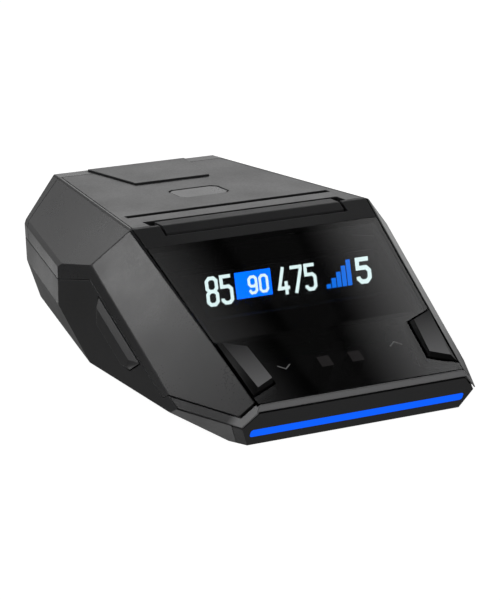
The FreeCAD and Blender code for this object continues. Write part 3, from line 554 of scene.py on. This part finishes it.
def add_figures(mesh, text, left, foot, width, height, gap, place):
    """Adds plain block figures, side by side. Sizes are in millimetres."""
    left, foot, width, height, gap = (size * MM for size in (left, foot, width, height, gap))
    stroke = width * FIGURE_STROKE
    for index, figure in enumerate(text):
        shift = Vector((left + index * (width + gap), foot))
        for points, closed in figure_strokes(figure, width, height, stroke):
            moved = [Vector(p) + shift for p in points]
            add_stroke(mesh, moved, stroke, GLYPH_THICK, place, closed)


def screen_place():
    """Turns (across, up the screen) into a point just in front of the screen's face."""
    low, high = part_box("screen_module")
    up = Vector((0, math.cos(SCREEN_LEAN), math.sin(SCREEN_LEAN)))
    out = Vector((0, -math.sin(SCREEN_LEAN), math.cos(SCREEN_LEAN)))
    foot = Vector((0, low.y, high.z - SCREEN_HEIGHT * math.sin(SCREEN_LEAN)))

    def place(point, height):
        return foot + Vector((1, 0, 0)) * point.x + up * point.y + out * (height + GLYPH_LIFT)

    return place


def make_display():
    """The lit figures, the box with the limit on it, and the rising bars."""
    place = screen_place()

    def raised(point, height):
        return place(point, height + GLYPH_THICK + GLYPH_LIFT)

    figures = bmesh.new()
    for layout in SCREEN_FIGURES:
        add_figures(figures, *layout, place)
    white = lit("figure_white", FIGURE_WHITE, FIGURE_GLOW)
    finish_piece("display_figures", figures, white, "casing")

    box = bmesh.new()
    add_slab(box, rectangle(*(edge * MM for edge in LIMIT_BOX)), GLYPH_THICK, place)
    finish_piece("display_box", box, lit("box_blue", BOX_BLUE, BOX_GLOW), "casing")

    limit = bmesh.new()
    add_figures(limit, *LIMIT_FIGURES, raised)
    finish_piece("display_limit", limit, white, "casing")

    bars = bmesh.new()
    for index in range(BAR_COUNT):
        left = (BAR_LEFT + BAR_PITCH * index) * MM
        right = left + BAR_WIDTH * MM
        foot = BAR_FOOT * MM
        top = foot + (BAR_LOWEST + BAR_STEP * index) * MM
        add_slab(bars, rectangle(left, foot, right, top), GLYPH_THICK, place)
    finish_piece("display_bars", bars, lit("bar_blue", BAR_BLUE, BAR_GLOW), "casing")


# ---------------------------------------------------------------- printed marks on the panel
def surface_place(node, x, y):
    """A placer for marks that lie on top of a node at x, y."""
    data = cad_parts[node].data
    tree = BVHTree.FromPolygons([v.co for v in data.vertices], [p.vertices for p in data.polygons])
    point, normal, _, _ = tree.ray_cast(Vector((x, y, ABOVE_PART)), Vector((0, 0, -1)))
    along = Vector((1, 0, 0))
    up = normal.cross(along)

    def place(flat, height):
        return point + along * flat.x + up * flat.y + normal * (height + GLYPH_LIFT)

    return place


def make_arrow_mark(name, x, y, sign):
    """An open arrowhead printed on the panel."""
    place = surface_place("front_glass", x * MM, y * MM)
    rise = ARROW_HALF_RISE * sign
    line = [(-ARROW_HALF_WIDTH, -rise), (0.0, rise), (ARROW_HALF_WIDTH, -rise)]
    mesh = bmesh.new()
    add_stroke(mesh, line, ARROW_STROKE, ARROW_THICK, place)
    ink = moulded(name + "_ink", INK_GREY, 0.5, grain=0.05, radius=0.02 * MM)
    finish_piece(name, mesh, ink, "casing")


def make_marks():
    for name, settings in ARROW_MARKS.items():
        make_arrow_mark(name, *settings)


# ---------------------------------------------------------------- studio
CAMERA_PLACE = (-0.26405, -0.48145, 0.16646)
CAMERA_AIM = (29.0, -15.45)                # azimuth and elevation
CAMERA_ROLL = math.radians(0.23)
CAMERA_LENS = 158.2                        # millimetres

FLOOR_HALF = 4.0
FLOOR_THICK = 0.01
FLOOR_GAP = 0.0001                         # between the floor and the part's underside
FLOOR_GLOW = 0.97

# Brightness of the room, from straight down (0) to straight up (1).
ROOM = ((0.0, 0.25), (0.25, 0.25), (0.42, 0.10), (0.6, 0.68), (0.8, 0.38), (0.9, 0.05), (1.0, 0.03))

# Softboxes: azimuth, elevation, distance, (width, height), strength, target.
PANELS = {
    "panel_back": (29.0, 22.0, 0.45, (0.40, 0.24), 1.75, (0, 0.01, 0.03)),
    "panel_back_left": (-12.0, 24.5, 0.185, (0.08, 0.08), 1.9, (-0.033, -0.002, 0.03)),
    "panel_left": (-73.5, 36.5, 0.25, (0.070, 0.13), 9.0, (-0.03, 0.004, 0.027)),
    "panel_left_low": (-5.0, -17.0, 0.35, (0.14, 0.12), 1.2, (-0.03, 0.02, 0.018)),
    "panel_side_low": (-34.0, -19.0, 0.30, (0.12, 0.10), 0.3, (-0.035, -0.02, 0.01)),
    "panel_under_left": (-28.0, -54.0, 0.30, (0.14, 0.14), 1.4, (-0.02, -0.03, 0.005)),
    "panel_right_back": (46.0, -6.0, 0.35, (0.14, 0.14), 0.9, (0.02, 0, 0.018)),
    "panel_glass_right": (74.3, 54.4, 0.252, (0.20, 0.070), 1.15, (0.026, -0.025, 0.024)),
    "panel_glass_left": (63.4, 64.2, 0.248, (0.20, 0.062), 0.43, (-0.024, -0.028, 0.022)),
}


def direction(azimuth, elevation):
    """Azimuth 0 is +Y and turns towards +X."""
    a = math.radians(azimuth)
    e = math.radians(elevation)
    return Vector((math.sin(a) * math.cos(e), math.cos(a) * math.cos(e), math.sin(e)))


def make_camera():
    camera = add_object("camera", bpy.data.cameras.new("camera"))
    camera.data.lens = CAMERA_LENS
    camera.data.clip_start = 0.01
    camera.data.clip_end = 20.0
    forward = direction(*CAMERA_AIM)
    right = forward.cross(Vector((0, 0, 1))).normalized()
    up = right.cross(forward)
    roll = Matrix.Rotation(CAMERA_ROLL, 3, forward)
    right = roll @ right
    up = roll @ up
    axes = Matrix((right, up, -forward)).transposed()
    camera.matrix_world = Matrix.Translation(CAMERA_PLACE) @ axes.to_4x4()
    bpy.context.scene.camera = camera


def make_floor():
    """A pale floor that the camera sees but that puts no light on the part."""
    mesh = bmesh.new()
    corners = rectangle(-FLOOR_HALF, -FLOOR_HALF, FLOOR_HALF, FLOOR_HALF)
    sunk = FLOOR_THICK + FLOOR_GAP
    add_slab(mesh, corners, FLOOR_THICK, lambda flat, height: Vector((*flat, height - sunk)))
    floor = add_object("floor", mesh_from(mesh, "floor"))
    g = Graph("pale_floor")
    tone = g.mix(g.spread(g.noise(3.0), 0.0, 1.0), (0.28, 0.28, 0.28), (0.30, 0.30, 0.30))
    g.set(Base_Color=tone, Roughness=0.9, Specular_IOR_Level=0.0)
    g.set(Emission_Color=(1.0, 1.0, 1.0), Emission_Strength=FLOOR_GLOW)
    paint(floor, g.material)
    floor.visible_glossy = False
    floor.visible_diffuse = False
    floor.visible_transmission = False
    floor.visible_shadow = False


def make_panel(name, azimuth, elevation, distance, size, strength, target):
    """A softbox whose light fades towards its edges. It faces the target."""
    away = direction(azimuth, elevation)
    mesh = bmesh.new()
    bmesh.ops.create_grid(mesh, x_segments=1, y_segments=1, size=0.5)
    box = add_object(name, mesh_from(mesh, name))
    box.scale = (*size, 1.0)
    box.rotation_euler = away.to_track_quat("Z", "Y").to_euler()
    box.location = Vector(target) + away * distance
    g = Graph(name + "_light")
    split = g.add("ShaderNodeSeparateXYZ")
    g.link(g.add("ShaderNodeTexCoord").outputs["Generated"], split.inputs[0])
    fades = []
    for axis in (0, 1):
        off_centre = g.math("ABSOLUTE", g.math("SUBTRACT", split.outputs[axis], 0.5))
        fade = g.add("ShaderNodeMapRange", interpolation_type="SMOOTHSTEP")
        for key, value in (("From Min", 0.1), ("From Max", 0.5), ("To Min", 1.0), ("To Max", 0.0)):
            fade.inputs[key].default_value = value
        g.link(off_centre, fade.inputs["Value"])
        fades.append(fade.outputs["Result"])
    light = g.add("ShaderNodeEmission")
    both = g.math("MULTIPLY", fades[0], fades[1])
    g.link(g.math("MULTIPLY", both, strength), light.inputs["Strength"])
    g.link(light.outputs[0], g.nodes["Material Output"].inputs["Surface"])
    paint(box, g.material)
    box.visible_camera = False


def make_world():
    """A pale room whose brightness changes with height."""
    world = bpy.data.worlds.new("room")
    bpy.context.scene.world = world
    world.use_nodes = True
    nodes = world.node_tree.nodes
    links = world.node_tree.links
    coords = nodes.new("ShaderNodeTexCoord")
    split = nodes.new("ShaderNodeSeparateXYZ")
    ramp = nodes.new("ShaderNodeValToRGB")
    shift = nodes.new("ShaderNodeMapRange")
    shift.inputs["From Min"].default_value = -1.0
    links.new(coords.outputs["Generated"], split.inputs[0])
    links.new(split.outputs["Z"], shift.inputs["Value"])
    links.new(shift.outputs["Result"], ramp.inputs["Fac"])
    links.new(ramp.outputs["Color"], nodes["Background"].inputs["Color"])
    elements = ramp.color_ramp.elements
    while len(elements) < len(ROOM):
        elements.new(0.5)                  # its real place is set below
    for element, (place, grey) in zip(elements, ROOM):
        element.position = place
        element.color = (grey, grey, grey, 1.0)


def make_studio():
    make_camera()
    make_floor()
    make_world()
    for name, settings in PANELS.items():
        make_panel(name, *settings)
    bpy.context.scene.view_settings.view_transform = "Standard"


make_studio()
paint_nodes()
make_display()
make_marks()
